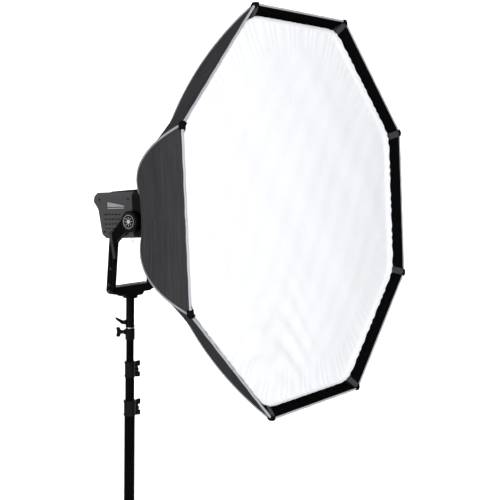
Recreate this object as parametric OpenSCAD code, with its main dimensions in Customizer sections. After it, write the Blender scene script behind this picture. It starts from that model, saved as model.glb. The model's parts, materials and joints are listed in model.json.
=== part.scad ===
// Octagonal studio softbox on a lamp head, in a tilting yoke, on a three-section stand.
// Millimetres, +Z up, the floor at z = 0. The softbox opens towards -Y.
// The lamp and the softbox share one tilted frame, the optical frame: its origin is the centre of
// the softbox's front rim and its +Y runs back along the light's axis. Modules draw in it through optic().

/* [Softbox] */
// Radius of the front rim, from its centre to a corner
rim_r = 600; // [580:5:620]
// Depth from the front rim back to the rod hinges
box_depth = 548; // [540:2:550]
// Radius of the cover's corners at the rod hinges
root_r = 98; // [96:1:100]
// How far each rod bows outward from a straight line
rod_bow = 56; // [50:1:60]
// Thickness of the side panels
panel_t = 2; // [1.5:0.1:2.5]
// Radius of a rod
rod_rad = 4; // [3:0.5:4]
// Depth of the front diffuser behind the rim
diffuser_s = 42; // [30:2:50]
// Radius of the front diffuser, from its centre to a corner
diffuser_r = 562; // [540:2:562]
// Thickness of the front diffuser
diffuser_t = 1.2; // [0.8:0.1:2]

/* [Placing] */
// Height of the rim's centre above the floor
rim_z = 1700; // [1690:5:1750]
// Distance from the rim's centre back to the stand's axis
stand_back = 685; // [680:1:690]
// Upward tilt of the light's axis
tilt = 4.06; // [2:0.01:6]
// Depth of the tilt pivot behind the rim, in the optical frame
pivot_s = 600; // [597:1:602]
// Height of the tilt pivot from the light's axis, in the optical frame
pivot_h = -20; // [-22:1:-18]

/* [Lamp head] */
// Half width of the housing
lamp_half = 80; // [79:1:80]
// Front face of the lamp's front housing
lamp_front = 562; // [560:1:563]
// Joint between the front housing and the rear shell
shell_front = 606; // [604:1:608]
// Wall of the shell
wall = 3; // [2:0.5:3.5]
// Radius of the bayonet collar on the speed ring
bayonet_r = 49; // [47:1:50]
// Number of heat sink fins
fin_count = 13; // [9:2:15]
// Number of fan blades
blade_count = 7; // [5:1:9]

/* [Yoke] */
// Inner face of each arm, from the middle
arm_in = 86.5; // [86:0.5:88]
// Thickness of an arm
arm_t = 16; // [14:1:18]
// Width of an arm seen from the side
arm_w = 26; // [22:1:28]
// Radius of the round end of an arm
boss_r = 33; // [31:1:34]
// Radius of the tilt trunnions
trunnion_r = 10; // [8:1:12]

/* [Stand] */
// Outer radius of the lower tube
low_r = 17.5; // [17:0.5:18]
// Outer radius of the middle tube
mid_r = 15; // [14.5:0.5:15]
// Outer radius of the top tube
top_r = 12.5; // [12:0.5:12.5]
// Wall of the tubes
tube_wall = 1.5; // [1.2:0.1:1.5]
// Radius of the spigot that carries the yoke
spigot_r = 8; // [7.5:0.5:8]
// Reach of each leg from the column's axis
leg_reach = 480; // [440:10:520]
// Outer radius of the leg tubes
leg_r = 12.5; // [11:0.5:12.5]

/* [Hidden] */
$fn = 64;
running = 0.05;   // radial clearance of a running fit
clear = 0.3;      // gap between bodies that only pass each other
sides = 8;
half = 180 / sides;
panel_names = ["side_panel_1", "side_panel_2", "side_panel_3", "side_panel_4",
    "side_panel_5", "side_panel_6", "side_panel_7", "side_panel_8"];
rod_names = ["rod_1", "rod_2", "rod_3", "rod_4", "rod_5", "rod_6", "rod_7", "rod_8"];
diffuser_names = ["diffuser_1", "diffuser_2", "diffuser_3", "diffuser_4",
    "diffuser_5", "diffuser_6", "diffuser_7", "diffuser_8"];

// Opening of the rear grille
window_low = -46;
window_high = 10;
window_x0 = -72;
window_x1 = 40;

// Colours
black = [0.05, 0.05, 0.055];
satin = [0.12, 0.12, 0.13];
cloth = [0.16, 0.16, 0.17];
white = [0.93, 0.93, 0.95];
metal = [0.62, 0.63, 0.65];

// The stand's axis in Y puts the middle of the whole object at y = 0
foot_half = 15.5;
back_reach = leg_reach * sin(30) + foot_half * cos(30);
front_reach = stand_back + rim_r * cos(half) * sin(tilt);
stand_y = (front_reach - back_reach) / 2;
rim_y = stand_y - stand_back;

// The rods' arc, in a plane through the light's axis: x is the radius and y the depth
hinge_in = 8;     // from the cover's corner to the middle of a rod
chord = norm([rim_r - root_r, box_depth]);
arc_r = chord * chord / (8 * rod_bow) + rod_bow / 2;
out_dir = [box_depth, rim_r - root_r] / chord;
arc_mid = [(rim_r + root_r) / 2, box_depth / 2];
arc_c = arc_mid - out_dir * (arc_r - rod_bow);
rod_arc = arc_r - hinge_in;
angle_root = atan2(box_depth - arc_c[1], root_r - arc_c[0]);
angle_tip = atan2(-arc_c[1], rim_r - arc_c[0]);
rod_tip = angle_tip + 0.5;
hinge_p = arc_c + rod_arc * [cos(angle_root), sin(angle_root)];

// The side panels stop short of the rods' hinges
panel_end = box_depth - 18;

// The side panels' arc: the same bow, seen at the middle of a flat side
flat = cos(half);
bow_top = arc_mid + out_dir * rod_bow;
panel_pts = [[rim_r * flat, 0], [bow_top[0] * flat, bow_top[1]], [root_r * flat, box_depth]];
function circle_centre(p) = let(
    a = p[1] - p[0], b = p[2] - p[0], d = 2 * (a[0] * b[1] - a[1] * b[0]))
    p[0] + [b[1] * (a * a) - a[1] * (b * b), a[0] * (b * b) - b[0] * (a * a)] / d;
panel_c = circle_centre(panel_pts);
panel_arc = norm(panel_pts[0] - panel_c);

// Speed ring, bayonet and lamp
knuckle_r = 7;
knuckle_w = 10;
pin_r = 2.5;
ear_t = 4;
ring_s0 = box_depth - 8;
ring_s1 = box_depth + 8;
ring_out = 78;
ring_in = 46;
lug_r = 5;
lug_angle = 28;
lug_s0 = lamp_front + 4;
lug_s1 = lamp_front + 9;
mount_s0 = lamp_front - 4;
mount_s1 = lamp_front + 18;
mount_out = 66;
lens_s0 = 584;
glass_r = 46;
lamp_top = 72.8;
lamp_low = -72;
shell_low = -74;
chamfer = 11;

// Lamp inside
chip_s = 616;
sink_s0 = 619;
sink_s1 = 690;
fan_s0 = 695;
fan_s1 = 713;
fan_h = -5;
fan_hole = 43;
inlet_x = 60;
inlet_h = -20;
inlet_r = 12;

// Heights on the stand
cross_top = rim_z - 276;
cross_low = cross_top - 26;
plate_low = cross_low - 10;
receiver_low = rim_z - 416.5;
spigot_shoulder = rim_z - 420;
collar1_low = rim_z - 457;
collar2_top = rim_z - 530;
collar2_low = rim_z - 580;
collar3_top = rim_z - 659;
collar3_low = rim_z - 709;
lip = 12;
low_tube_z0 = 46;
mid_tube_z0 = 260;
top_tube_z0 = 300;
hub_h = 40;
hub_r = 27;
knob_dir_low = 0;      // degrees about Z from +X
knob_dir_top = 135;

// The yoke's arm, in the stand's own plane: [y from the stand's axis, z]
pivot_y = pivot_s * cos(tilt) + pivot_h * sin(tilt) - stand_back;
pivot_z = rim_z - pivot_s * sin(tilt) + pivot_h * cos(tilt);
arm_foot = [-3, cross_low + 4];
arm_elbow = [-16, cross_top + 150];
lever_p = [-12, rim_z - 104];
lever_tip = [-29, rim_z - 178];
lever_x = arm_in + arm_t + clear;

// ---- shared shapes ----

module optic() translate([0, rim_y, rim_z]) rotate([-tilt, 0, 0]) children();

// Stands a shape drawn along +Z on the light's axis, starting at depth s
module along(s) translate([0, s, 0]) rotate([-90, 0, 0]) children();

// Turns a shape drawn in the plane of a rod, with x the radius, to the angle of corner or side
module turn_to(angle) rotate([0, -angle, 0]) children();

module at_stand(z) translate([0, stand_y, z]) children();

module ring(r_out, r_in, h) difference() {
    cylinder(r = r_out, h = h);
    translate([0, 0, -1]) cylinder(r = r_in, h = h + 2);
}

// Extrudes a drawing in [y, z] along X, from x0 to x1
module side_plate(x0, x1) translate([x0, 0, 0]) rotate([90, 0, 90]) linear_extrude(x1 - x0) children();

// A flat bar between two points of a drawing
module bar(p, q, w) {
    d = (q - p) / norm(q - p);
    n = [-d[1], d[0]] * w / 2;
    polygon([p + n, q + n, q - n, p - n]);
}

// ---- stand ----

// The middle line of a leg, from the hub at height z down to the floor: [radius, z]
function leg_path(z) = [[hub_r - 3, z], [95, z], [250, leg_r + 3], [leg_reach - 6, leg_r + 3]];

// A straight length of leg between two points of its middle line
module leg_length(p, q) translate([p[0], 0, p[1]])
    rotate([0, 90 + atan2(p[1] - q[1], q[0] - p[0]), 0]) cylinder(r = leg_r, h = norm(q - p));

module leg_solid(path) {
    for (i = [0:2]) leg_length(path[i], path[i + 1]);
    // the two bends
    for (i = [1, 2]) translate([path[i][0], 0, path[i][1]]) sphere(r = leg_r + 0.8);
}

// A leg with its hub ring: level 0, 1 or 2 up the column
module leg(level, angle, hub_bore) {
    z0 = low_tube_z0 + 4 + level * (hub_h + 2);
    at_stand(0) rotate([0, 0, angle]) difference() {
        union() {
            translate([0, 0, z0]) cylinder(r = hub_r, h = hub_h);
            leg_solid(leg_path(z0 + hub_h / 2));
        }
        translate([0, 0, z0 - 1]) cylinder(r = hub_bore, h = hub_h + 2);
    }
}

// Rubber shoe moulded over the end of a leg, flat underneath
module shoe(angle) at_stand(0) rotate([0, 0, angle]) {
    translate([leg_reach - 70, 0, foot_half]) rotate([0, 90, 0]) cylinder(r = foot_half, h = 70);
    translate([leg_reach - 70, -foot_half, 0]) cube([70, 2 * foot_half, foot_half]);
}

module lower_tube() color(black) difference() {
    at_stand(low_tube_z0) cylinder(r = low_r, h = collar3_top - lip - low_tube_z0);
    at_stand(low_tube_z0 + 5) cylinder(r = low_r - tube_wall, h = collar3_top);
    knob_hole(collar3_low + 20, knob_dir_low, 4.3);
}

module fixed_leg() {
    color(black) leg(0, -90, low_r);
    color(satin) shoe(-90);
    // locking ring above the three hubs
    color(satin) at_stand(low_tube_z0 + 4 + 3 * (hub_h + 2)) ring(24, low_r, 14);
}
module left_leg() {
    color(black) leg(1, 150, low_r + running);
    color(satin) shoe(150);
}
module right_leg() {
    color(black) leg(2, 30, low_r + running);
    color(satin) shoe(30);
}

// A radial hole from the stand's axis outward
module knob_hole(z, dir, r) at_stand(z) rotate([0, 90, dir]) cylinder(r = r, h = 60);

// Collar on top of a tube, with a guide lip for the tube inside it and a boss for the knob's screw
module collar(z0, z1, r_out, r_tube, r_guide, dir) difference() {
    union() {
        at_stand(z0) cylinder(r = r_out, h = z1 - z0);
        at_stand(z0) cylinder(r = r_out + 1.5, h = 5);
        at_stand(z1 - 7) cylinder(r = r_out + 1.5, h = 7);
        at_stand(z0 + 20) rotate([0, 90, dir]) cylinder(r = 9, h = r_out + 7);
    }
    at_stand(z0 - 1) cylinder(r = r_tube, h = z1 - lip - z0 + 1);
    at_stand(z0 - 2) cylinder(r = r_guide, h = z1 - z0 + 4);
    knob_hole(z0 + 20, dir, 4 + running);
}

// Butterfly knob: a screw along +X from x0, a hub from x1 and two ears
module wing_knob(x0, x1) {
    translate([x0, 0, 0]) rotate([0, 90, 0]) cylinder(r = 4, h = x1 + 4 - x0);
    translate([x1, 0, 0]) rotate([0, 90, 0]) cylinder(r = 9, h = 9);
    for (m = [0, 1]) mirror([0, 0, m]) translate([x1 + 3, 3.5, 0]) rotate([90, 0, 0]) linear_extrude(7) {
        polygon([[0, 0], [6, 0], [8, 9], [17, 10], [19, 12], [19, 25], [17, 27], [4, 26], [1, 20]]);
    }
}

module lower_collar() color(satin)
    collar(collar3_low, collar3_top, 19, low_r, mid_r + running, knob_dir_low);
module middle_tube() color(black) difference() {
    at_stand(mid_tube_z0) ring(mid_r, mid_r - tube_wall, collar2_top - lip - mid_tube_z0);
    knob_hole(collar2_low + 20, knob_dir_low, 4.3);
}
module middle_collar() color(satin)
    collar(collar2_low, collar2_top, 16.5, mid_r, top_r + running, knob_dir_low);
module top_tube() color(black)
    at_stand(top_tube_z0) ring(top_r, top_r - tube_wall, collar1_low + 12 - top_tube_z0);

module lower_knob() color(black) at_stand(collar3_low + 20) rotate([0, 0, knob_dir_low])
    wing_knob(mid_r + 0.6, 19 + 8);
module middle_knob() color(black) at_stand(collar2_low + 20) rotate([0, 0, knob_dir_low])
    wing_knob(top_r + 0.6, 16.5 + 8);

module top_collar() color(satin) difference() {
    union() {
        at_stand(collar1_low) cylinder(r = 15.5, h = spigot_shoulder - collar1_low);
        at_stand(collar1_low + 25) rotate([0, 90, knob_dir_top]) cylinder(r = 8.5, h = 21);
    }
    at_stand(collar1_low - 1) cylinder(r = top_r, h = 13);
    at_stand(collar1_low - 2) cylinder(r = spigot_r, h = 60);
    knob_hole(collar1_low + 25, knob_dir_top, 4 + running);
}

module spigot() color(metal) difference() {
    union() {
        at_stand(collar1_low + 12) cylinder(r = spigot_r, h = plate_low - 12 - collar1_low - 12);
        at_stand(spigot_shoulder) cylinder(r = 12, h = receiver_low - spigot_shoulder - clear);
    }
    at_stand(spigot_shoulder + 44) ring(spigot_r + 5, spigot_r - 1.5, 14);
}

// T-bar knob for the top clamp
module top_knob() color(black) at_stand(collar1_low + 25) rotate([0, 0, knob_dir_top]) {
    translate([spigot_r + 0.6, 0, 0]) rotate([0, 90, 0]) cylinder(r = 4, h = 24);
    translate([22, 0, 0]) rotate([0, 90, 0]) cylinder(r = 6.5, h = 8);
    translate([30, 4, 0]) rotate([90, 0, 0]) linear_extrude(8) polygon([[0, -8], [3, -15], [12, -16],
        [15, -11], [13, -4], [13, 4], [15, 11], [12, 16], [3, 15], [0, 8]]);
}

// ---- yoke ----

module receiver() color(black) difference() {
    union() {
        at_stand(receiver_low) cylinder(r = 13.5, h = plate_low - receiver_low);
        at_stand(receiver_low) cylinder(r = 15, h = 6);
        at_stand(plate_low - 7) cylinder(r = 24, h = 7);
        at_stand(receiver_low + 16) rotate([0, 90, knob_dir_top]) cylinder(r = 8, h = 19);
    }
    at_stand(receiver_low - 1) cylinder(r = spigot_r + running, h = plate_low - 11 - receiver_low);
    knob_hole(receiver_low + 16, knob_dir_top, 3.5 + running);
}

module receiver_lever() color(black) at_stand(receiver_low + 16) rotate([0, 0, knob_dir_top]) {
    translate([spigot_r + 0.6, 0, 0]) rotate([0, 90, 0]) cylinder(r = 3.5, h = 14);
    translate([20, 0, 0]) rotate([0, 90, 0]) cylinder(r = 7, h = 8);
    translate([23, 3, 0]) rotate([90, 0, 0])
        linear_extrude(6) polygon([[0, -5], [6, -4], [22, 9], [26, 16], [20, 16], [0, 6]]);
}

module yoke_base() color(black) difference() {
    translate([0, stand_y + 19, 0]) rotate([90, 0, 0]) linear_extrude(38) polygon([
        [-arm_in, cross_top], [arm_in, cross_top], [arm_in, cross_low + 6], [arm_in - 10, cross_low],
        [48, cross_low], [38, plate_low], [-38, plate_low], [-48, cross_low],
        [10 - arm_in, cross_low], [-arm_in, cross_low + 6]]);
    for (y = [-11, 11]) translate([-60, stand_y + y - 3, cross_top - 3]) cube([120, 6, 4]);
}

// One arm, with its round end; m is 1 on the +X side or -1 on the -X side
module arm(m) mirror([m < 0 ? 1 : 0, 0, 0]) translate([0, stand_y, 0]) difference() {
    union() {
        side_plate(arm_in, arm_in + arm_t) polygon([arm_foot + [arm_w / 2, 0], arm_elbow + [arm_w / 2, 0],
            arm_elbow + [arm_w / 2 - 2, 16], [pivot_y + 24, pivot_z + 14], [pivot_y, pivot_z + 6],
            [pivot_y - 8, pivot_z - 10], arm_elbow + [-arm_w / 2, -6], arm_foot - [arm_w / 2, 0]]);
        translate([arm_in, pivot_y, pivot_z]) rotate([0, 90, 0]) cylinder(r = boss_r, h = arm_t);
    }
    translate([arm_in - 1, pivot_y, pivot_z]) rotate([0, 90, 0]) cylinder(r = trunnion_r + running, h = 30);
    // chamfered lower outer corner
    translate([arm_in + arm_t - 15, -40, cross_low - 1]) rotate([0, 45, 0]) cube([24, 80, 34]);
    // long recesses on the outer face
    for (y = [-15, -6]) translate([arm_in + arm_t - 3, y, cross_top + 12]) cube([4, 4, 100]);
}
module left_arm() color(black) arm(-1);
module right_arm() color(black) arm(1);

// Round covers over both ends of the tilt axis
module pivot_caps() color(satin) for (m = [0, 1]) mirror([m, 0, 0])
    translate([arm_in + arm_t, stand_y + pivot_y, pivot_z]) rotate([0, 90, 0]) union() {
        cylinder(r = boss_r - 4, h = 3);
        translate([0, 0, 3]) cylinder(r1 = boss_r - 6, r2 = boss_r - 8, h = 1.5);
    }

// Clamp lever on the left arm, hanging down at rest
module tilt_lever() color(metal) mirror([1, 0, 0]) translate([0, stand_y, 0]) {
    side_plate(lever_x, lever_x + 5) {
        translate(lever_p) circle(r = 8);
        bar(lever_p, lever_tip, 9);
        translate(lever_tip) circle(r = 4.5);
    }
    translate([lever_x + 5, lever_p[0], lever_p[1]]) rotate([0, 90, 0]) cylinder(r = 5, h = 3);
}

// ---- lamp head, in the optical frame ----

// Side outline of the rear shell, shrunk by d
function shell_outline(d) = [[shell_front - (d > 0 ? 1 : 0), lamp_low + d], [731 - d, shell_low + d],
    [740 - d * 1.2, -55 + d / 2], [751.5 - d * 1.1, 19], [771 - d * 1.3, 46], [762 - d * 0.7, lamp_top - d],
    [shell_front - (d > 0 ? 1 : 0), lamp_top - d]];

// Trims the long edges of a body of the lamp's width
module edge_trim(half_w, c) for (mx = [0, 1]) mirror([mx, 0, 0]) {
    translate([half_w - c, 540, lamp_top]) rotate([0, 45, 0]) cube([40, 250, 40]);
    translate([half_w - c, 540, shell_low]) mirror([0, 0, 1]) rotate([0, 45, 0]) cube([40, 250, 40]);
}

module shell_block(d) difference() {
    side_plate(d - lamp_half, lamp_half - d) polygon(shell_outline(d));
    edge_trim(lamp_half - d * sqrt(2), chamfer);
}

module shell_wall() difference() {
    shell_block(0);
    shell_block(wall);
}

module window(gap) translate([window_x0 + gap, 716, window_low + gap])
    cube([window_x1 - window_x0 - 2 * gap, 50, window_high - window_low - 2 * gap]);

module lamp_shell() color([0.2, 0.2, 0.21]) optic() difference() {
    shell_wall();
    window(0);
    translate([inlet_x, 700, inlet_h]) rotate([-90, 0, 0]) cylinder(r = inlet_r, h = 60);
    // cooling slots in both sides
    for (row = [0:3]) for (col = [0:4])
        translate([-lamp_half - 1, 656 + col * 15, -44 + row * 15]) cube([2 * lamp_half + 2, 11, 3]);
}

module rear_grille() color(black) optic() difference() {
    intersection() {
        shell_wall();
        window(0.1);
    }
    for (row = [0:8]) translate([window_x0 + 8, 700, window_low + 5 + row * 5.5])
        cube([window_x1 - window_x0 - 16, 60, 2.5]);
}

// Front housing, with the low cover that runs back over the rear shell
module front_housing() {
    front_block();
    top_cover();
}
module front_block() color(black) optic() difference() {
    side_plate(-lamp_half, lamp_half) polygon([[lamp_front, lamp_low + 6], [lamp_front + 6, lamp_low],
        [shell_front, lamp_low], [shell_front, lamp_top],
        [lamp_front + 4, lamp_top], [lamp_front, lamp_top - 4]]);
    edge_trim(lamp_half, chamfer);
    along(lamp_front - 1) cylinder(r = mount_out, h = lens_s0 - lamp_front + 1);
    along(lens_s0 - 1) cylinder(r = glass_r, h = 60);
}

module top_cover() color(black) optic()
    side_plate(-68, 68) polygon([[lamp_front + 3, lamp_top], [710, lamp_top], [698, lamp_top + 2.4],
        [lamp_front + 14, lamp_top + 6.6]]);

module mount_ring() color(metal) optic() difference() {
    along(mount_s0) cylinder(r = mount_out, h = mount_s1 - mount_s0);
    along(mount_s0 - 1) cylinder(r = bayonet_r + clear, h = 60);
    along(lug_s0 - clear) cylinder(r = bayonet_r + lug_r + clear, h = 60);
    // entry slots for the three lugs
    for (k = [0:2]) along(mount_s0 - 1) rotate([0, 0, 120 * k + 90 + 40])
        ring_part(bayonet_r - 2, bayonet_r + lug_r + 0.1, lug_angle + 5, lug_s0 - mount_s0 + 3);
}

// A part of a ring, symmetrical about +X
module ring_part(r_in, r_out, angle, h) rotate([0, 0, -angle / 2])
    rotate_extrude(angle = angle) translate([r_in, 0]) square([r_out - r_in, h]);

module release_slider() color(metal) optic() translate([-8, lamp_front + 5, lamp_low - 6.3]) union() {
    cube([16, 14, 6]);
    for (i = [0:2]) translate([0, 3 + 4 * i, -1]) cube([16, 1.6, 1]);
}

// The two stub axles that the lamp tilts on, bolted to the sides of its front housing
module tilt_trunnions() color(metal) optic() for (m = [0, 1]) mirror([m, 0, 0])
    translate([lamp_half, pivot_s, pivot_h]) rotate([0, 90, 0]) {
        cylinder(r = 22, h = arm_in - lamp_half - 1);
        cylinder(r = trunnion_r, h = arm_in + arm_t - lamp_half - 1);
    }

module glass_cover() color([0.8, 0.85, 0.9, 0.5]) optic() along(592) cylinder(r = glass_r, h = 4);
module circuit_boards() {
    led_board();
    driver_board();
}
module led_board() color([0.9, 0.75, 0.3]) optic() along(chip_s - 2) union() {
    cylinder(r = 19, h = 2);
    translate([0, 0, 2]) cylinder(r = 40, h = sink_s0 - chip_s);
}

module heat_sink() color(metal) optic() union() {
    translate([-60, sink_s0, -52]) cube([120, 8, 104]);
    for (i = [0:fin_count - 1]) translate([-58 + i * 116 / (fin_count - 1) - 1, sink_s0 + 8, -52])
        cube([2, sink_s1 - sink_s0 - 8, 104]);
}

module fan_frame() color(black) optic() difference() {
    translate([-46, fan_s0, fan_h - 46]) cube([92, fan_s1 - fan_s0, 92]);
    translate([0, 0, fan_h]) along(fan_s0 + 3) cylinder(r = fan_hole, h = 40);
    // inlet openings around the middle plate that carries the spindle
    translate([0, 0, fan_h]) for (k = [0:3]) along(fan_s0 - 1) rotate([0, 0, 45 + 90 * k])
        ring_part(16, fan_hole - 1, 74, 10);
}

module fan_rotor() color(satin) optic() translate([0, 0, fan_h]) along(fan_s0 + 3.5) union() {
    cylinder(r = 15, h = 12);
    for (k = [0:blade_count - 1]) rotate([0, 0, 360 * k / blade_count]) translate([14, 0, 6])
        rotate([32, 0, 0]) translate([0, -8, -0.8]) cube([26, 16, 1.6]);
}

// Driver board with its capacitors, under the heat sink
module driver_board() color([0.1, 0.3, 0.15]) optic() union() {
    translate([-55, 625, -66]) cube([110, 62, 1.6]);
    for (x = [-36, -12, 12, 36]) translate([x, 642, -64.4]) cylinder(r = 6, h = 10);
}

module power_inlet() color(black) optic() translate([inlet_x, 0, inlet_h]) difference() {
    along(722) cylinder(r = inlet_r, h = 26);
    along(731) cylinder(r = 8.5, h = 20);
}

// ---- softbox, in the optical frame ----

module speed_ring() color(metal) optic() union() {
    along(ring_s0) difference() {
        cylinder(r = ring_out, h = ring_s1 - ring_s0);
        translate([0, 0, -1]) cylinder(r = 58, h = 40);
        translate([0, 0, 4]) ring(ring_out - 8, 66, 8);
    }
    for (k = [0:sides - 1]) turn_to(half + k * 2 * half) hinge_fork();
}

// Two ears that hold a rod's hinge pin
module hinge_fork() for (m = [0, 1]) mirror([0, 0, m])
    translate([0, 0, knuckle_w / 2 + clear]) linear_extrude(ear_t) difference() {
        union() {
            translate(hinge_p) circle(r = knuckle_r + 1);
            polygon([[ring_out - 6, ring_s0], [hinge_p[0], ring_s0 - 0.5], [hinge_p[0], ring_s1 - 1],
                [ring_out - 6, ring_s1]]);
        }
        translate(hinge_p) circle(r = pin_r);
    }

module hinge_pins() color(metal) optic() for (k = [0:sides - 1]) turn_to(half + k * 2 * half)
    translate([hinge_p[0], hinge_p[1], 0])
        cylinder(r = pin_r, h = knuckle_w + 2 * clear + 2 * ear_t, center = true);

// Mount insert: a flange in the speed ring, a short tube and three lugs
module bayonet_collar() color(metal) optic() union() {
    along(ring_s0 + 2) ring(58, ring_in, 12);
    along(ring_s0 + 14) ring(bayonet_r, 43, lug_s1 - ring_s0 - 14);
    for (k = [0:2]) along(lug_s0) rotate([0, 0, 120 * k + 90])
        ring_part(bayonet_r - 2, bayonet_r + lug_r, lug_angle, lug_s1 - lug_s0 - 0.5);
}

// Fabric cuff that closes the back between the ring and the side panels
module rear_cuff() color(cloth) optic() along(ring_s1 + 0.5) ring(root_r - 2, 82, 2);

module rod(k) color(satin) optic() turn_to(half + k * 2 * half) difference() {
    union() {
        translate([arc_c[0], arc_c[1], 0]) rotate([0, 0, rod_tip])
            rotate_extrude(angle = angle_root - rod_tip, $fn = 720)
                translate([rod_arc, 0]) circle(r = rod_rad, $fn = 32);
        translate([hinge_p[0], hinge_p[1], 0]) cylinder(r = knuckle_r, h = knuckle_w, center = true);
        translate([arc_c[0], arc_c[1], 0]) rotate([0, 0, rod_tip])
            rotate_extrude(angle = 1.2, $fn = 720) translate([rod_arc, 0]) circle(r = rod_rad + 1, $fn = 32);
    }
    translate([hinge_p[0], hinge_p[1], 0]) cylinder(r = pin_r + running, h = 30, center = true);
}

// One flat side of the cover, between two rods
module side_panel(k) color(cloth) optic() turn_to(k * 2 * half) intersection() {
    translate([panel_c[0], panel_c[1], 0]) difference() {
        cylinder(r = panel_arc, h = 2 * rim_r, center = true, $fn = 720);
        cylinder(r = panel_arc - panel_t, h = 2 * rim_r + 2, center = true, $fn = 720);
    }
    translate([clear, panel_end, 0]) rotate([90, 0, 0]) linear_extrude(panel_end)
        polygon([[0, 0], [rim_r, -rim_r * tan(half)], [rim_r, rim_r * tan(half)]]);
}

// The share of the front diffuser that hangs from one corner
module diffuser(k) color(white) optic() turn_to(half + k * 2 * half) translate([-clear, 0, 0])
    translate([0, diffuser_s + diffuser_t, 0]) rotate([90, 0, 0]) linear_extrude(diffuser_t)
        polygon([[2 * clear, 0], diffuser_r * flat * [cos(half), sin(half)] - [0, clear],
            [diffuser_r, 0], diffuser_r * flat * [cos(half), -sin(half)] + [0, clear]]);

// ---- drawing ----

lower_tube();
lower_collar();
fixed_leg();
left_leg();
right_leg();
middle_tube();
middle_collar();
top_tube();
top_collar();
spigot();
lower_knob();
middle_knob();
top_knob();
receiver();
receiver_lever();
yoke_base();
left_arm();
right_arm();
pivot_caps();
tilt_lever();
front_housing();
lamp_shell();
rear_grille();
mount_ring();
release_slider();
tilt_trunnions();
glass_cover();
circuit_boards();
heat_sink();
fan_frame();
fan_rotor();
power_inlet();
speed_ring();
bayonet_collar();
hinge_pins();
rear_cuff();
for (k = [0:sides - 1]) {
    rod(k);
    side_panel(k);
    diffuser(k);
}
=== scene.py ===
# Looks for the octagonal softbox. Metres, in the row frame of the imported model.
import json
import math

import bmesh
import bpy
import numpy as np
from mathutils import Matrix, Vector

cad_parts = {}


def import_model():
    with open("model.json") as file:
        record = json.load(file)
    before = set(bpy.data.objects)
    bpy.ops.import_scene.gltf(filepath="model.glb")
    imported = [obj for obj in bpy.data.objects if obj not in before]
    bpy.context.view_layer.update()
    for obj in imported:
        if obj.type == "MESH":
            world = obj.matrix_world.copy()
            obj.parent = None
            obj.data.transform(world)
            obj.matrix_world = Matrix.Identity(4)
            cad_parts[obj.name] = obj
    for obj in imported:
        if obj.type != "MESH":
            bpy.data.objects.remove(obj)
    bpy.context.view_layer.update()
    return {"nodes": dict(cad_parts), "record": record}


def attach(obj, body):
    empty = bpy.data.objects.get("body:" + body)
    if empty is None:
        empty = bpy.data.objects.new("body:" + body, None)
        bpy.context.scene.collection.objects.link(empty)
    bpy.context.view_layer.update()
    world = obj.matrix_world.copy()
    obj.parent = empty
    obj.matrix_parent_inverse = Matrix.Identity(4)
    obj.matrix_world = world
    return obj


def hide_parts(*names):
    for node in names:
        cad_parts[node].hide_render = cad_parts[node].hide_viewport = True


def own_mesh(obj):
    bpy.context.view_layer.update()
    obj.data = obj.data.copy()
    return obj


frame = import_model()
NODES = frame["nodes"]

# ---- the design's own measures, as in the CAD source ----
TILT = math.radians(4.06)
HALF = math.pi / 8
FLAT = math.cos(HALF)
RIM_R, DEPTH, ROOT_R, BOW = 0.600, 0.548, 0.098, 0.056
STAND_BACK = 0.685
FRONT = STAND_BACK + RIM_R * FLAT * math.sin(TILT)
BACK = 0.480 * math.sin(math.radians(30)) + 0.0155 * math.cos(math.radians(30))
STAND_Y = (FRONT - BACK) / 2
RIM_Y, RIM_Z = STAND_Y - STAND_BACK, 1.700
DIFF_R, DIFF_S = 0.568, 0.042
LAMP_HALF = 0.080
ARM_OUT = 0.1025

CHORD = math.hypot(RIM_R - ROOT_R, DEPTH)
ARC_R = CHORD ** 2 / (8 * BOW) + BOW / 2
OUT_DIR = np.array([DEPTH, RIM_R - ROOT_R]) / CHORD
ARC_C = np.array([(RIM_R + ROOT_R) / 2, DEPTH / 2]) - OUT_DIR * (ARC_R - BOW)


def world(p):
    """Points (x, depth, height) of the optical frame, in the row frame."""
    p = np.asarray(p, float)
    x, s, h = p[..., 0], p[..., 1], p[..., 2]
    return np.stack([x, RIM_Y + s * math.cos(TILT) + h * math.sin(TILT),
                     RIM_Z - s * math.sin(TILT) + h * math.cos(TILT)], -1)


def direction(v):
    """A direction of the optical frame, in the row frame."""
    return Vector(world(v) - world((0, 0, 0)))


def corner_r(s):
    """Radius of the cover's corner at depth s."""
    return ARC_C[0] + np.sqrt(ARC_R ** 2 - (np.asarray(s) - ARC_C[1]) ** 2)


def corner_angle(k):
    return HALF + k * 2 * HALF


# ---- materials ----

def nodes_of(name, rough, metallic=0.0, sheen=0.0, coat=0.0, ior=1.45, specular=0.5):
    m = bpy.data.materials.new(name)
    m.use_nodes = True
    t = m.node_tree
    b = t.nodes["Principled BSDF"]
    b.inputs["Roughness"].default_value = rough
    b.inputs["Metallic"].default_value = metallic
    b.inputs["Sheen Weight"].default_value = sheen
    b.inputs["Coat Weight"].default_value = coat
    b.inputs["IOR"].default_value = ior
    b.inputs["Specular IOR Level"].default_value = specular
    return m, t, b


def add(t, kind, **values):
    """A node with its inputs set by name or number."""
    n = t.nodes.new(kind)
    for k, v in values.items():
        key = k.replace("_", " ")
        if key in n.inputs:
            n.inputs[key].default_value = v
        else:
            setattr(n, k, v)
    return n


def mix(t, factor, a, b):
    """Mixes two colours; each is a socket or a colour."""
    n = t.nodes.new("ShaderNodeMix")
    n.data_type = "RGBA"
    for i, v in ((0, factor), (6, a), (7, b)):
        if isinstance(v, bpy.types.NodeSocket):
            t.links.new(v, n.inputs[i])
        else:
            n.inputs[i].default_value = v if i == 0 else (*v[:3], 1)
    return n.outputs[2]


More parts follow.
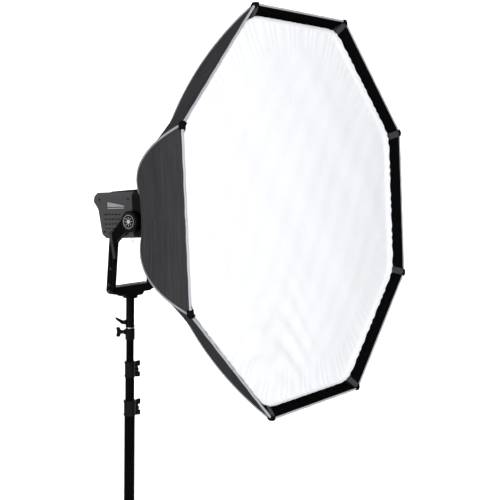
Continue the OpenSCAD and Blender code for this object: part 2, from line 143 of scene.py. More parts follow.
def noise(t, scale, detail=4, stretch=(1, 1, 1)):
    """Noise in object space, which is the row frame."""
    c = t.nodes.new("ShaderNodeTexCoord")
    p = t.nodes.new("ShaderNodeMapping")
    p.inputs["Scale"].default_value = stretch
    t.links.new(c.outputs["Object"], p.inputs["Vector"])
    n = add(t, "ShaderNodeTexNoise", Scale=scale, Detail=detail)
    t.links.new(p.outputs[0], n.inputs["Vector"])
    return n.outputs["Fac"]


def ramp(t, fac, lo, hi, a=0.0, b=1.0):
    n = add(t, "ShaderNodeMapRange", From_Min=lo, From_Max=hi, To_Min=a, To_Max=b)
    t.links.new(fac, n.inputs["Value"])
    return n.outputs[0]


def edge_mask(t, radius=0.0012):
    """A mask that is 1 on sharp edges, and a rounded normal."""
    bevel = add(t, "ShaderNodeBevel", Radius=radius)
    bevel.samples = 4
    geo = t.nodes.new("ShaderNodeNewGeometry")
    dot = t.nodes.new("ShaderNodeVectorMath")
    dot.operation = "DOT_PRODUCT"
    t.links.new(bevel.outputs[0], dot.inputs[0])
    t.links.new(geo.outputs["Normal"], dot.inputs[1])
    return ramp(t, dot.outputs["Value"], 0.985, 0.80), bevel.outputs[0]


def hard(name, base, rough, metallic=0.0, wear=(0.3, 0.3, 0.31), wear_amount=0.35, grain=900.0,
         grain_depth=0.02, brushed=None, coat=0.0, specular=0.5):
    """Painted, cast or moulded surface: fine grain, smudged roughness and lighter edges."""
    m, t, b = nodes_of(name, rough, metallic, coat=coat, specular=specular)
    smudge = noise(t, 9.0, 5)
    dark = tuple(c * 0.78 for c in base)
    colour = mix(t, ramp(t, smudge, 0.3, 0.7), dark, base)
    mask, rounded = edge_mask(t)
    nick = t.nodes.new("ShaderNodeMath")
    nick.operation = "MULTIPLY"
    t.links.new(mask, nick.inputs[0])
    t.links.new(ramp(t, noise(t, 140.0, 3), 0.42, 0.62, 0.0, wear_amount), nick.inputs[1])
    colour = mix(t, nick.outputs[0], colour, wear)
    t.links.new(colour, b.inputs["Base Color"])
    t.links.new(ramp(t, smudge, 0.25, 0.75, rough - 0.07, rough + 0.08), b.inputs["Roughness"])
    bump = add(t, "ShaderNodeBump", Strength=0.35, Distance=grain_depth * 0.001 * 10)
    stretch = brushed if brushed else (1, 1, 1)
    t.links.new(noise(t, grain, 2, stretch), bump.inputs["Height"])
    t.links.new(rounded, bump.inputs["Normal"])
    t.links.new(bump.outputs[0], b.inputs["Normal"])
    return m


def weave(t, pitch):
    """A plain weave: two crossed bands of threads, from UV measured in metres."""
    uv = t.nodes.new("ShaderNodeUVMap")
    uv.uv_map = "UV"
    heights = []
    for direction_name in ("X", "Y"):
        w = add(t, "ShaderNodeTexWave", Scale=1.0 / (pitch * 6.2832) * 3.1416, Distortion=0.4, Detail_Scale=2.0)
        w.bands_direction = direction_name
        t.links.new(uv.outputs[0], w.inputs["Vector"])
        heights.append(w.outputs["Fac"])
    n = t.nodes.new("ShaderNodeMath")
    n.operation = "MULTIPLY"
    t.links.new(heights[0], n.inputs[0])
    t.links.new(heights[1], n.inputs[1])
    return n.outputs[0]


def cloth(name, base, rough, pitch=0.0009, sheen=0.2, depth=0.00025, variation=0.75, lining=None,
          painted_sheen_streaks=0.0, translucent=0.0):
    """Woven cloth: threads as bump and colour, slow colour changes, lighter streaks of painted sheen, and another
    colour on the inside.
    """
    m, t, b = nodes_of(name, rough, sheen=sheen, specular=0.0)
    threads = weave(t, pitch)
    tone = ramp(t, noise(t, 6.0, 6), 0.3, 0.7)
    colour = mix(t, tone, tuple(c * variation for c in base), base)
    colour = mix(t, ramp(t, threads, 0.0, 1.0, 0.0, 0.35), colour, tuple(min(1, c * 1.5 + 0.004) for c in base))
    # lighter vertical streaks mixed into the colour: a painted sheen standing in for light on the cloth's wrinkles
    if painted_sheen_streaks:
        uv = t.nodes.new("ShaderNodeUVMap")
        uv.uv_map = "UV"
        s = t.nodes.new("ShaderNodeMapping")
        s.inputs["Scale"].default_value = (5, 46, 1)
        t.links.new(uv.outputs[0], s.inputs["Vector"])
        n = add(t, "ShaderNodeTexNoise", Scale=1.0, Detail=5)
        t.links.new(s.outputs[0], n.inputs["Vector"])
        colour = mix(t, ramp(t, n.outputs["Fac"], 0.45, 0.75, 0.0, painted_sheen_streaks), colour, (0.16, 0.16, 0.165))
    if lining is not None:
        geo = t.nodes.new("ShaderNodeNewGeometry")
        colour = mix(t, geo.outputs["Backfacing"], colour, lining)
    t.links.new(colour, b.inputs["Base Color"])
    bump = add(t, "ShaderNodeBump", Strength=0.5, Distance=depth)
    t.links.new(threads, bump.inputs["Height"])
    soft = add(t, "ShaderNodeBump", Strength=0.35, Distance=0.004)
    t.links.new(noise(t, 22.0, 3), soft.inputs["Height"])
    t.links.new(soft.outputs[0], bump.inputs["Normal"])
    t.links.new(bump.outputs[0], b.inputs["Normal"])
    if translucent:
        out = t.nodes["Material Output"]
        tr = t.nodes.new("ShaderNodeBsdfTranslucent")
        t.links.new(colour, tr.inputs["Color"])
        t.links.new(bump.outputs[0], tr.inputs["Normal"])
        shader = t.nodes.new("ShaderNodeMixShader")
        shader.inputs[0].default_value = translucent
        t.links.new(b.outputs[0], shader.inputs[1])
        t.links.new(tr.outputs[0], shader.inputs[2])
        t.links.new(shader.outputs[0], out.inputs["Surface"])
    return m


M = {
    "stand_black": hard("stand_paint", (0.0018, 0.0018, 0.0020), 0.36, grain=1400, specular=0.02, wear_amount=0.12),
    "collar_black": hard("collar_casting", (0.0055, 0.0055, 0.006), 0.45, grain=700, specular=0.06, wear_amount=0.12),
    "knob_black": hard("knob_moulding", (0.005, 0.005, 0.0054), 0.5, grain=1600, specular=0.06, wear_amount=0.1),
    "bright_steel": hard("turned_steel", (0.56, 0.57, 0.59), 0.28, 1.0, grain=600, brushed=(1, 1, 14)),
    "lever_grey": hard("lever_anodised", (0.035, 0.035, 0.038), 0.4, grain=900, specular=0.3, wear_amount=0.15),
    "yoke_black": hard("yoke_paint", (0.003, 0.003, 0.0034), 0.42, grain=1100, specular=0.04, wear_amount=0.12),
    "housing_black": hard("housing_moulding", (0.005, 0.005, 0.0054), 0.55, grain=2400, wear_amount=0.08, specular=0.06,
                          grain_depth=0.03),
    "housing_grey": hard("housing_paint", (0.068, 0.068, 0.071), 0.5, grain=2000, specular=0.12, wear_amount=0.1),
    "cap_grey": hard("cap_moulding", (0.013, 0.013, 0.014), 0.45, grain=1500, specular=0.12, wear_amount=0.08),
    "mount_metal": hard("mount_machined", (0.42, 0.42, 0.44), 0.32, 1.0, grain=800, brushed=(1, 8, 1)),
    "board": hard("board_mask", (0.05, 0.2, 0.08), 0.35, grain=500, wear_amount=0.0, coat=0.3),
    "heat_sink": hard("extruded_aluminium", (0.55, 0.55, 0.57), 0.36, 1.0, grain=500, brushed=(1, 10, 1)),
    "rod_grey": hard("rod_fibre", (0.05, 0.05, 0.055), 0.3, grain=500, brushed=(12, 1, 12), wear_amount=0.1,
                     coat=0.4),
}
glass_m, glass_t, glass_b = nodes_of("coated_glass", 0.05, ior=1.5)
glass_b.inputs["Transmission Weight"].default_value = 0.9
glass_t.links.new(mix(glass_t, ramp(glass_t, noise(glass_t, 30, 3), 0.4, 0.6), (0.8, 0.86, 0.92), (0.9, 0.94, 0.97)),
                  glass_b.inputs["Base Color"])
M["glass"] = glass_m

COVER = cloth("cover_nylon", (0.044, 0.044, 0.0465), 0.6, 0.0011, sheen=0.0, lining=(0.55, 0.56, 0.58), painted_sheen_streaks=0.12)
LIP = cloth("lip_loop_tape", (0.0025, 0.0025, 0.0028), 0.85, 0.0016, sheen=0.0, depth=0.0006)
PIPING = cloth("piping_grey", (0.345, 0.35, 0.385), 0.42, 0.0012, sheen=0.1, variation=0.85)
WEBBING = cloth("webbing_grey", (0.040, 0.041, 0.045), 0.7, 0.0018, sheen=0.05, depth=0.0006, variation=0.85)
WHITE = cloth("diffuser_cloth", (0.9, 0.91, 0.935), 0.75, 0.0007, sheen=0.0, depth=0.0001, variation=0.985,
              translucent=0.25)
BLACK_TAPE = cloth("black_tape", (0.005, 0.005, 0.0056), 0.7, 0.0015, sheen=0.0, depth=0.0005)
PRINT = hard("printed_ink", (0.62, 0.63, 0.65), 0.5, grain=1800, wear=(0.1, 0.1, 0.1), wear_amount=0.1)

for sub in frame["record"]["subparts"]:
    slot = sub["material_slot"]
    material = M.get(slot) or (WHITE if slot == "diffuser_cloth" else COVER)
    data = NODES[sub["node"]].data
    data.materials.clear()
    data.materials.append(material)


# ---- mesh helpers ----

def new_object(name, verts, faces, material, uv=None, normals=None, smooth=True):
    me = bpy.data.meshes.new(name)
    me.from_pydata([tuple(v) for v in verts], [], [tuple(int(i) for i in f) for f in faces])
    me.materials.append(material)
    layer = me.uv_layers.new(name="UV")
    if uv is None:
        flat_uv = np.asarray(verts)[:, [0, 2]]
    else:
        flat_uv = np.asarray(uv)
    loops = np.zeros(len(me.loops), int)
    me.loops.foreach_get("vertex_index", loops)
    layer.data.foreach_set("uv", flat_uv[loops].astype(np.float32).ravel())
    me.polygons.foreach_set("use_smooth", [smooth] * len(me.polygons))
    me.validate()
    if normals is not None:
        # faces turn the way that the given normals point
        first = me.polygons[len(me.polygons) // 2]
        if first.normal.dot(Vector(normals[first.vertices[0]])) < 0:
            me.flip_normals()
        me.normals_split_custom_set_from_vertices([tuple(n) for n in normals])
    o = bpy.data.objects.new(name, me)
    bpy.context.scene.collection.objects.link(o)
    return o


def grid_faces(rows, cols):
    i = np.arange(rows - 1)[:, None] * cols + np.arange(cols - 1)[None, :]
    return np.stack([i, i + 1, i + cols + 1, i + cols], -1).reshape(-1, 4)


def grid_normals(p):
    """Vertex normals of a grid of points."""
    a = np.gradient(p, axis=0)
    b = np.gradient(p, axis=1)
    n = np.cross(a, b)
    return n / np.maximum(np.linalg.norm(n, axis=-1, keepdims=True), 1e-12)


def tube(name, path, radius, material, sides=10, closed=False, flatten=1.0, up=None):
    """A tube along points; flatten squeezes it along up."""
    path = np.asarray(path, float)
    if closed:
        tangent = np.roll(path, -1, 0) - np.roll(path, 1, 0)
    else:
        tangent = np.gradient(path, axis=0)
    tangent /= np.linalg.norm(tangent, axis=1, keepdims=True)
    ref = np.tile(np.asarray(up if up is not None else (0, 0, 1), float), (len(path), 1))
    side = np.cross(tangent, ref)
    side /= np.maximum(np.linalg.norm(side, axis=1, keepdims=True), 1e-9)
    top = np.cross(side, tangent)
    radii = np.full(len(path), radius) if np.isscalar(radius) else np.asarray(radius)
    rings = []
    for j in range(sides):
        a = 2 * math.pi * j / sides
        rings.append(path + radii[:, None] * (math.cos(a) * side + flatten * math.sin(a) * top))
    verts = np.stack(rings, 1).reshape(-1, 3)
    faces = []
    n = len(path)
    last = n if closed else n - 1
    for i in range(last):
        for j in range(sides):
            a, b = i * sides, ((i + 1) % n) * sides
            faces.append((a + j, a + (j + 1) % sides, b + (j + 1) % sides, b + j))
    if not closed:
        faces.append(tuple(range(sides))[::-1])
        faces.append(tuple((n - 1) * sides + j for j in range(sides)))
    length = np.concatenate([[0], np.cumsum(np.linalg.norm(np.diff(path, axis=0), axis=1))])
    uv = np.stack([np.tile(np.arange(sides) * radius * 6.28 / sides if np.isscalar(radius) else
                           np.arange(sides) * 0.002, n), np.repeat(length, sides)], -1)
    return new_object(name, verts, faces, material, uv)


def prism(name, outline, depth_vec, material, bevel=0.0, segments=2):
    """A closed outline of 3-D points pushed along depth_vec, with rounded edges."""
    outline = [Vector(p) for p in outline]
    n = len(outline)
    verts = outline + [p + Vector(depth_vec) for p in outline]
    faces = [tuple(range(n))[::-1], tuple(range(n, 2 * n))]
    faces += [(i, (i + 1) % n, n + (i + 1) % n, n + i) for i in range(n)]
    o = new_object(name, np.array([tuple(v) for v in verts]), faces, material, smooth=bevel > 0)
    bm = bmesh.new()
    bm.from_mesh(o.data)
    bmesh.ops.recalc_face_normals(bm, faces=bm.faces)
    if bevel:
        bmesh.ops.bevel(bm, geom=list(bm.edges), offset=bevel, segments=segments, affect="EDGES", profile=0.6)
    bm.to_mesh(o.data)
    bm.free()
    return o


def join(name, objects, material=None):
    """Several meshes as one piece."""
    bm = bmesh.new()
    for o in objects:
        bm.from_mesh(o.data)
    me = bpy.data.meshes.new(name)
    bm.to_mesh(me)
    bm.free()
    me.materials.append(material or objects[0].data.materials[0])
    for o in objects:
        bpy.data.objects.remove(o)
    out = bpy.data.objects.new(name, me)
    bpy.context.scene.collection.objects.link(out)
    return out


def fold_away(o):
    """Gives the cloth its own copy of its mesh."""
    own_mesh(o)


# ---- the cover: one surface round all eight gores, cut midway between the rods ----
PER_GORE, ALONG = 40, 110
WAVES = np.random.default_rng(7).uniform(0, 1, (8, 7, 4))


def wrinkle(j, u, t):
    """Height of the cover's wrinkles in gore j, at share u across and t back from the rim."""
    total = np.zeros_like(u)
    for f, c, phase, weight in WAVES[j]:
        freq = 2.0 + 9.0 * f
        lean = (c - 0.5) * 2.4
        total += (0.3 + weight) * np.sin(2 * math.pi * (freq * t + lean * u + phase))
    across = np.clip(4 * u * (1 - u), 0, 1)
    near_seam = np.sin(2 * math.pi * (26 * t + 3 * u)) * np.exp(-12 * np.minimum(u, 1 - u))
    return 0.00042 * total * across ** 0.6 + 0.0005 * near_seam * np.clip(8 * across, 0, 1)


def gore_point(g, s, r_of, lift=0.0):
    """Points round the box: g counts gores from corner 0, s is the depth, r_of the corner's radius there."""
    j = np.floor(g).astype(int) % 8
    u = g - np.floor(g)
    a0 = HALF + j * 2 * HALF
    a1 = a0 + 2 * HALF
    x = (1 - u) * np.cos(a0) + u * np.cos(a1)
    z = (1 - u) * np.sin(a0) + u * np.sin(a1)
    am = a0 + HALF
    return np.stack([x * r_of + lift * np.cos(am), s + 0 * g, z * r_of + lift * np.sin(am)], -1)


g = np.arange(8 * PER_GORE + 1) / PER_GORE - 0.5
t = np.linspace(0, 1, ALONG)
G, T = np.meshgrid(g, t)
S = 0.001 + (DEPTH - 0.002) * T
U = G - np.floor(G)
# the gores hollow between the rods, from behind the lip back
behind_lip = np.clip((T - 0.09) / 0.91, 0, 1)
hollow = -(0.0003 + 0.0155 * np.sin(math.pi * behind_lip) ** 1.2) * 4 * U * (1 - U)
relief = np.zeros_like(G)
for j in range(8):
    inside = (np.floor(G).astype(int) % 8) == j
    relief[inside] = wrinkle(j, U[inside], T[inside])
cover = gore_point(G, S, corner_r(S), hollow + relief * np.clip(T / 0.15, 0.1, 1))
cover_normals = grid_normals(cover)
cover_w = world(cover)
normals_w = np.stack([cover_normals[..., 0],
                      cover_normals[..., 1] * math.cos(TILT) + cover_normals[..., 2] * math.sin(TILT),
                      -cover_normals[..., 1] * math.sin(TILT) + cover_normals[..., 2] * math.cos(TILT)], -1)
out_sign = np.sign((normals_w * (cover_w - np.array(world((0, 0.3, 0))))).sum())
normals_w = normals_w * out_sign

for k in range(8):
    # columns are counted from half a gore before corner 0
    c0, c1 = k * PER_GORE, (k + 1) * PER_GORE + 1
    p = cover_w[:, c0:c1]
    n = normals_w[:, c0:c1].copy()
    faces = grid_faces(*p.shape[:2])
    uv = np.stack([(G[:, c0:c1] - k) * 2 * corner_r(S[:, c0:c1]) * math.sin(HALF), S[:, c0:c1] * 1.3], -1)
    o = new_object(f"cover_{k + 1}", p.reshape(-1, 3), faces, COVER, uv.reshape(-1, 2), n.reshape(-1, 3))
    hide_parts(f"side_panel_{k + 1}")
    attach(o, f"rod_{k + 1}")
    fold_away(o)

# ---- piping round the rim and down each rod ----
for k in range(8):
    a = corner_angle(k)
    share = np.linspace(-0.5, 0.5, 61)
    gg = np.clip(share + k, k - 0.5, k + 0.5)
    ripple = 0.0006 * np.sin(2 * math.pi * gg * 7) * np.clip(4 * np.abs(share), 0, 1)
    rim = gore_point(gg, 0.0035 + ripple, RIM_R - 0.0030)
    flat_up = (0, -math.cos(TILT), math.sin(TILT))
    o = tube(f"rim_piping_{k + 1}", world(rim), 0.0032, PIPING, 10, flatten=1.0, up=flat_up)
    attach(o, f"rod_{k + 1}")
    fold_away(o)
    s_line = np.linspace(0.004, DEPTH - 0.006, 90)
    r_line = corner_r(s_line) + 0.0008
    seam = np.stack([r_line * math.cos(a), s_line, r_line * math.sin(a)], -1)
    around = tuple(direction((-math.sin(a), 0, math.cos(a))))
    o = tube(f"seam_piping_{k + 1}", world(seam), 0.0030, PIPING, 8, up=around)
    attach(o, f"rod_{k + 1}")

# ---- front lip, a black band from the rim to the diffuser ----
LIP_ROWS = 12
for k in range(8):
    gg = np.linspace(k - 0.5, k + 0.5, 97)
    v = np.linspace(0, 1, LIP_ROWS)
    GG, V = np.meshgrid(gg, v)
    puckers = 0.0012 * np.sin(2 * math.pi * GG * 11 + 1.3 * np.sin(2 * math.pi * GG * 3)) * np.sin(math.pi * V)
    # the band runs back to the hem, then turns in behind the white cloth
    r_lip = np.interp(V, (0, 0.75, 1), (RIM_R - 0.0065, DIFF_R + 0.0035, DIFF_R - 0.0140))
    s_lip = np.interp(V, (0, 0.75, 1), (0.0030, DIFF_S + 0.0040, DIFF_S + 0.0085))
    lip = gore_point(GG, s_lip, r_lip, puckers)
    uv = np.stack([GG * 0.459, V * 0.06], -1)
    o = new_object(f"front_lip_{k + 1}", world(lip).reshape(-1, 3), grid_faces(LIP_ROWS, 97), LIP,
                   uv.reshape(-1, 2))
    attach(o, f"rod_{k + 1}")
    fold_away(o)

# ---- corner pockets over the rod tips, and grey pull tabs across the lip ----
for k in range(8):
    a = corner_angle(k)
    outline = []
    for share in (-0.026, -0.013, 0.0, 0.013, 0.026):
        outline.append(gore_point(np.array(k + share), np.array(-0.0015), RIM_R + 0.0022))
    for share in (0.022, 0.0, -0.022):
        outline.append(gore_point(np.array(k + share), np.array(-0.0015), RIM_R - 0.011))
    o = prism(f"corner_pocket_{k + 1}", [tuple(world(p)) for p in outline], direction((0, 0.014, 0)), BLACK_TAPE,
              0.0016, 3)
    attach(o, f"rod_{k + 1}")
    # the tab lies along the lip's corner line and is sewn down at its inner end
    rows = np.linspace(0, 1, 16)
    width = 0.0105
    tab_r = (RIM_R - 0.008) * (1 - rows) + (DIFF_R - 0.006) * rows
    tab_s = -0.0010 + 0.026 * rows - 0.0020 * np.sin(math.pi * rows)
    strip = []
    for across in np.linspace(-1, 1, 7):
        x = tab_r * math.cos(a) - across * width * math.sin(a)
        z = tab_r * math.sin(a) + across * width * math.cos(a)
        strip.append(np.stack([x, tab_s + 0.0012 * across ** 2, z], -1))
    tab = world(np.stack(strip, 1))
    uv = np.stack(np.meshgrid(np.linspace(0, 2 * width, 7), rows * 0.05), -1)
    o = new_object(f"pull_tab_{k + 1}", tab.reshape(-1, 3), grid_faces(16, 7), WEBBING, uv.reshape(-1, 2))
    solid = o.modifiers.new("thickness", "SOLIDIFY")
    solid.thickness = 0.0014
    solid.offset = 0
    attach(o, f"rod_{k + 1}")

# ---- front diffuser, one white cloth cut along the lines to the middles of the sides ----
RINGS = 64


def diffuser_grid(gg):
    """The diffuser over a range of gores: rows run from the centre out to the hem."""
    v = np.linspace(0, 1, RINGS) ** 0.85
    GG, V = np.meshgrid(gg, v)
    # radius scale: rounded corners of the sewn edge
    u = GG - np.floor(GG)
    angle = np.arctan((u - 0.5) * 2 * math.tan(HALF))
    edge = DIFF_R * FLAT / np.cos(angle)
    limit = DIFF_R - 0.007
    soft = -np.log(np.exp(-220 * edge) + np.exp(-220 * limit)) / 220
    shrink = soft / edge
    r = 0.0005 + (DIFF_R - 0.0005) * V * shrink
    p = gore_point(GG, DIFF_S + 0 * GG, r)
    x, z = p[..., 0], p[..., 2]
    rad = np.hypot(x, z)
    out = np.clip(1 - rad / (DIFF_R * 0.95), 0, 1)
    bulge = 0.004 * np.cos(np.clip(rad / DIFF_R, 0, 1) * math.pi / 2)
    drift = (0.0015 * np.sin(9.1 * x + 5.3 * z + 0.6) + 0.0013 * np.sin(15.7 * x - 11.3 * z + 2.1)
             + 0.0011 * np.sin(-21.0 * x - 17.0 * z + 4.0) + 0.0008 * np.sin(33.0 * x + 29.0 * z)
             + 0.0006 * np.sin(61.0 * x - 47.0 * z + 1.0 + 2 * np.sin(7 * z)))
    low_left = np.exp(-((x + 0.22) ** 2 + (z + 0.42) ** 2) / 0.035)
    folds = 0.0050 * low_left * np.sin(46 * x + 70 * z + 3 * np.sin(14 * x))
    # short tension wrinkles at the hem
    ripples = np.sin(2 * math.pi * GG * 13 + 1.7 * np.sin(2 * math.pi * GG * 4))
    gather = 0.0011 * ripples * np.clip((V - 0.8) / 0.2, 0, 1)
    fall = np.clip(out * 6, 0, 1)
    p[..., 1] -= (bulge + drift + folds) * fall + gather * 0.8
    # the hem turns forward onto the lip
    hem = np.clip((V - 0.985) / 0.015, 0, 1)
    p[..., 1] -= 0.004 * hem
    return p


def hem_strip(gg):
    """The hem's band of white cloth, lying on the lip in front of the sewn edge."""
    v = np.linspace(0, 1, 5)
    GG, V = np.meshgrid(gg, v)
    u = GG - np.floor(GG)
    angle = np.arctan((u - 0.5) * 2 * math.tan(HALF))
    edge = DIFF_R * FLAT / np.cos(angle)
    limit = DIFF_R - 0.007
    soft = -np.log(np.exp(-220 * edge) + np.exp(-220 * limit)) / 220
    wave = 0.0014 * np.sin(2 * math.pi * GG * 13 + 1.7 * np.sin(2 * math.pi * GG * 4) + 0.8)
    r = DIFF_R * soft / edge + 0.0040 * V
    return gore_point(GG, DIFF_S - 0.005 - 0.008 * V + 0 * GG + wave * V, r, -0.0006 * V)


for k in range(8):
    gg = np.linspace(k - 0.5, k + 0.5, 81)
    p = diffuser_grid(gg)
    h = hem_strip(gg)
    pts = np.concatenate([p[:-1], h], 0)
    w = world(pts)
    n = grid_normals(pts)
    nw = np.stack([n[..., 0], n[..., 1] * math.cos(TILT) + n[..., 2] * math.sin(TILT),
                   -n[..., 1] * math.sin(TILT) + n[..., 2] * math.cos(TILT)], -1)
    nw *= -np.sign(n[RINGS // 2, :, 1].mean())
    uv = np.stack([pts[..., 0], pts[..., 2]], -1)
    o = new_object(f"diffuser_sheet_{k + 1}", w.reshape(-1, 3), grid_faces(*pts.shape[:2]), WHITE,
                   uv.reshape(-1, 2), nw.reshape(-1, 3))
    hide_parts(f"diffuser_{k + 1}")
    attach(o, f"diffuser_{k + 1}")
    a = corner_angle(k)
    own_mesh(o)

# ---- rear sleeve: pleated cloth from the cover's back edge in to the mount ----
turns = np.linspace(0, 2 * math.pi, 385)
rows = np.linspace(0, 1, 14)
A2, R2 = np.meshgrid(turns, rows)
face = (A2 / (2 * HALF) + 0.5) % 1 - 0.5
octagon = ROOT_R * FLAT / np.cos(face * 2 * HALF)
r_sleeve = octagon * (1 - R2) + 0.081 * R2
s_sleeve = DEPTH - 0.004 + 0.0125 * np.clip(R2 * 1.6, 0, 1) + 0.0007 * np.sin(56 * A2) * np.sin(math.pi * R2)
sleeve = world(np.stack([r_sleeve * np.cos(A2), s_sleeve, r_sleeve * np.sin(A2)], -1))
o = new_object("rear_sleeve", sleeve.reshape(-1, 3), grid_faces(14, 385), COVER,
               np.stack([A2 * 0.12, R2 * 0.05], -1).reshape(-1, 2))
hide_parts("rear_cuff")
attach(o, "softbox")
band = world(np.stack([0.0815 * np.cos(turns[:-1]), 0.5575 + 0 * turns[:-1], 0.0815 * np.sin(turns[:-1])], -1))
o = tube("sleeve_elastic", band, 0.0022, BLACK_TAPE, 8, closed=True, up=tuple(direction((0, 1, 0))))
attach(o, "softbox")


# ---- marks and fittings on the lamp, yoke and stand ----

def plate(name, points, normal, thick, material):
    """A thin printed or moulded shape on a side face: points are [y or s, z] in the plane x = const."""
    return prism(name, points, Vector(normal) * thick, material)


def sun_mark(name, x, side):
    """A plain sun sign on the round cover of the tilt axis."""
    s0, h0 = 0.600, -0.020
    ring_r = 0.0205
    ring = [world((x, s0 + ring_r * math.cos(b), h0 + ring_r * math.sin(b)))
            for b in np.linspace(0, 2 * math.pi, 49)[:-1]]
    parts = [tube(name + "_a", ring, 0.0008, PRINT, 6, closed=True, up=(1, 0, 0))]
    disc = [tuple(world((x, s0 + 0.0062 * math.cos(b), h0 + 0.0062 * math.sin(b))))
            for b in np.linspace(0, 2 * math.pi, 25)[:-1]]
    parts.append(plate(name + "_b", disc, (side, 0, 0), 0.0006, PRINT))
    for i in range(8):
        b = i * math.pi / 4
        c, d = math.cos(b), math.sin(b)
        ray = []
        for along_r, across_r in ((0.0090, -0.0011), (0.0150, -0.0007), (0.0150, 0.0007), (0.0090, 0.0011)):
            ray.append(tuple(world((x, s0 + along_r * c - across_r * d, h0 + along_r * d + across_r * c))))
        parts.append(plate(f"{name}_r{i}", ray, (side, 0, 0), 0.0006, PRINT))
    return join(name, parts, PRINT)


def screw(name, centre, axis, radius, material, height=0.0018):
    """Socket-head cap screw: a chamfered head with a six-sided recess."""
    bm = bmesh.new()
    profile = [(0.0, 0.42), (0.45, 0.42), (0.45, 1.0), (0.86, 1.0), (1.0, 0.82), (1.0, 0.0)]
    count = 24
    rings = []
    for r, h in profile[1:]:
        ring = []
        for i in range(count):
            b = 2 * math.pi * i / count
            rr = r
            if r == 0.45:
                turned = (b + math.pi / 6) % (math.pi / 3) - math.pi / 6
                rr = 0.45 * math.cos(math.pi / 6) / math.cos(turned) * 1.1
            ring.append(bm.verts.new((rr * radius * math.cos(b), rr * radius * math.sin(b), h * height)))
        rings.append(ring)
    bm.faces.new(rings[0])
    for lo, hi in zip(rings, rings[1:]):
        for i in range(count):
            bm.faces.new((lo[i], lo[(i + 1) % count], hi[(i + 1) % count], hi[i]))
    bm.faces.new(rings[-1][::-1])
    bmesh.ops.recalc_face_normals(bm, faces=bm.faces)
    turn = Vector((0, 0, 1)).rotation_difference(Vector(axis)).to_matrix().to_4x4()
    bm.transform(Matrix.Translation(Vector(centre)) @ turn)
    me = bpy.data.meshes.new(name)
    bm.to_mesh(me)
    bm.free()
    me.materials.append(material)
    o = bpy.data.objects.new(name, me)
    bpy.context.scene.collection.objects.link(o)
    return o


for side, label in ((-1, "left"), (1, "right")):
    o = sun_mark(f"tilt_mark_{label}", side * (ARM_OUT + 0.0045), side)
    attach(o, "yoke")
    # dark sheet behind the side slots: painted shade standing in for the dark inside of the housing
    shade_sheet_outline = [(side * 0.066, 0.650, -0.050), (side * 0.066, 0.733, -0.050), (side * 0.066, 0.746, 0.020),
             (side * 0.066, 0.746, 0.046), (side * 0.066, 0.650, 0.046)]
    o = plate(f"slot_shade_sheet_{label}", [tuple(world(p)) for p in shade_sheet_outline], (side, 0, 0), 0.0008, LIP)
    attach(o, "lamp")
    # plain level scale: ticks of rising height over a thin line
    marks = []
    x = side * (LAMP_HALF + 0.0001)
    for i in range(17):
        s0, tall = 0.640 + i * 0.0042, 0.004 + 0.0007 * i
        bar = [(x, s0, 0.026), (x, s0 + 0.0022, 0.026), (x, s0 + 0.0022, 0.026 + tall), (x, s0, 0.026 + tall)]
        marks.append(plate(f"tick_{label}_{i}", [tuple(world(p)) for p in bar], (side, 0, 0), 0.0004, PRINT))
    line = [(x, 0.640, 0.0210), (x, 0.7095, 0.0210), (x, 0.7095, 0.0226), (x, 0.640, 0.0226)]
    marks.append(plate(f"line_{label}", [tuple(world(p)) for p in line], (side, 0, 0), 0.0004, PRINT))
    o = join(f"level_scale_{label}", marks, PRINT)
    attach(o, "lamp")
    screws = []
    for i, (s0, h0) in enumerate(((0.655, -0.060), (0.728, -0.052), (0.744, 0.050), (0.622, 0.050))):
        screws.append(screw(f"shell_screw_{label}_{i}", world((side * LAMP_HALF, s0, h0)), (side, 0, 0), 0.0032,
                            M["bright_steel"]))
    o = join(f"shell_screws_{label}", screws, M["knob_black"])
    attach(o, "lamp")
    screws = []
    for i, (dy, z) in enumerate(((-0.0105, -0.216), (-0.003, -0.268), (-0.003, -0.287))):
        at = (side * ARM_OUT, STAND_Y + dy, RIM_Z + z)
        screws.append(screw(f"arm_screw_{label}_{i}", at, (side, 0, 0), 0.0042, M["bright_steel"], 0.0026))
    o = join(f"arm_screws_{label}", screws, M["lever_grey"])
    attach(o, "yoke")

loop = [world((-0.060 + 0.0065 * math.cos(b), 0.629, -0.0775 + 0.0075 * math.sin(b)))
        for b in np.linspace(0, 2 * math.pi, 33)]
o = tube("safety_eyelet", loop[:-1], 0.0013, M["bright_steel"], 8, closed=True, up=tuple(direction((0, 1, 0))))
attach(o, "lamp")

# ---- stage, light and camera ----
floor_m, floor_t, floor_b = nodes_of("studio_floor", 0.6)
floor_paper_and_shade = mix(floor_t, ramp(floor_t, noise(floor_t, 1.5, 3), 0.4, 0.6), (0.93, 0.93, 0.93), (0.95, 0.95, 0.95))
floor_at = floor_t.nodes.new("ShaderNodeTexCoord")
shade_depth = floor_t.nodes.new("ShaderNodeVectorMath")
shade_depth.operation = "DOT_PRODUCT"
shade_depth.inputs[1].default_value = (0.812, 0.584, 0)
floor_t.links.new(floor_at.outputs["Object"], shade_depth.inputs[0])
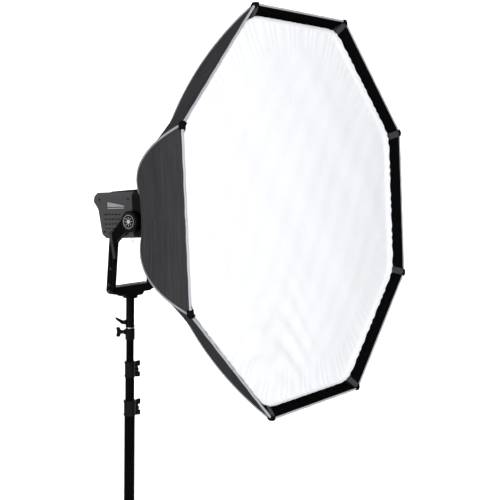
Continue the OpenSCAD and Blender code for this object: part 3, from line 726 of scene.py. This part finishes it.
# the floor is dark grey near the front and turns to pale paper further back: painted shade, making the near floor look
# less lit
floor_paper_and_shade = mix(floor_t, ramp(floor_t, shade_depth.outputs["Value"], 0.6, 1.6), (0.16, 0.16, 0.16), floor_paper_and_shade)
floor_t.links.new(floor_paper_and_shade, floor_b.inputs["Base Color"])
bm = bmesh.new()
curve = [(6 + 3 * math.sin(b), 3 - 3 * math.cos(b)) for b in np.linspace(0, math.pi / 2, 16)]
bend = [(-12.0, 0.0)] + curve + [(9.0, 12.0)]
back_dir = Vector((0.80755, 0.58050, 0)).normalized()
side_dir = Vector((0.58050, -0.80755, 0)).normalized()
rows_v = []
for d, z in bend:
    rows_v.append([bm.verts.new(back_dir * d + side_dir * w_ + Vector((0, 0, z))) for w_ in (-14, 14)])
for lo, hi in zip(rows_v, rows_v[1:]):
    bm.faces.new((lo[0], lo[1], hi[1], hi[0]))
me = bpy.data.meshes.new("studio_sweep")
bm.to_mesh(me)
bm.free()
me.materials.append(floor_m)
me.polygons.foreach_set("use_smooth", [True] * len(me.polygons))
sweep = bpy.data.objects.new("studio_sweep", me)
bpy.context.scene.collection.objects.link(sweep)

scene = bpy.context.scene
scene.view_settings.view_transform = "Standard"
scene.view_settings.look = "None"
world_b = bpy.data.worlds.new("studio")
scene.world = world_b
world_b.use_nodes = True
wt = world_b.node_tree
background = wt.nodes["Background"]
background.inputs["Color"].default_value = (1, 1, 1, 1)
background.inputs["Strength"].default_value = 0.16


def area_light(name, at, target, size, power):
    light = bpy.data.lights.new(name, "AREA")
    light.shape = "RECTANGLE"
    light.size, light.size_y = size
    light.energy = power
    o = bpy.data.objects.new(name, light)
    o.location = at
    o.rotation_euler = (Vector(target) - Vector(at)).to_track_quat("-Z", "Y").to_euler()
    bpy.context.scene.collection.objects.link(o)
    o.visible_camera = False


centre = Vector((0, RIM_Y, RIM_Z))
area_light("key", (-2.6, -4.9, 2.2), centre, (2.2, 2.2), 375)
area_light("left_fill", (-4.5, 0.6, 1.7), centre + Vector((0, 0.4, 0)), (1.6, 1.2), 170)
area_light("top", (0.2, 0.2, 5.0), centre, (3.0, 3.0), 3)
area_light("sweep_wash", tuple(back_dir * 2.5 + Vector((0, 0, 6.0))), tuple(back_dir * 8 + Vector((0, 0, 1.5))),
           (8.0, 3.0), 800)

back = Vector((-0.80755, -0.58050, 0.10458)).normalized()
right = Vector((0.58368, -0.81197, 0.0)).normalized()
up = back.cross(right)
roll = 0.017391
cam_x = right * math.cos(roll) + up * math.sin(roll)
cam_y = up * math.cos(roll) - right * math.sin(roll)
cam = bpy.data.cameras.new("camera")
cam.sensor_width = 36
cam.lens = 75.173
cam.clip_end = 100
camera = bpy.data.objects.new("camera", cam)
position = Vector((-2.4934, -1.5819 + RIM_Y, RIM_Z + 0.1940))
camera.matrix_world = Matrix(((cam_x[0], cam_y[0], back[0], position[0]),
                              (cam_x[1], cam_y[1], back[1], position[1]),
                              (cam_x[2], cam_y[2], back[2], position[2]), (0, 0, 0, 1)))
bpy.context.scene.collection.objects.link(camera)
scene.camera = camera
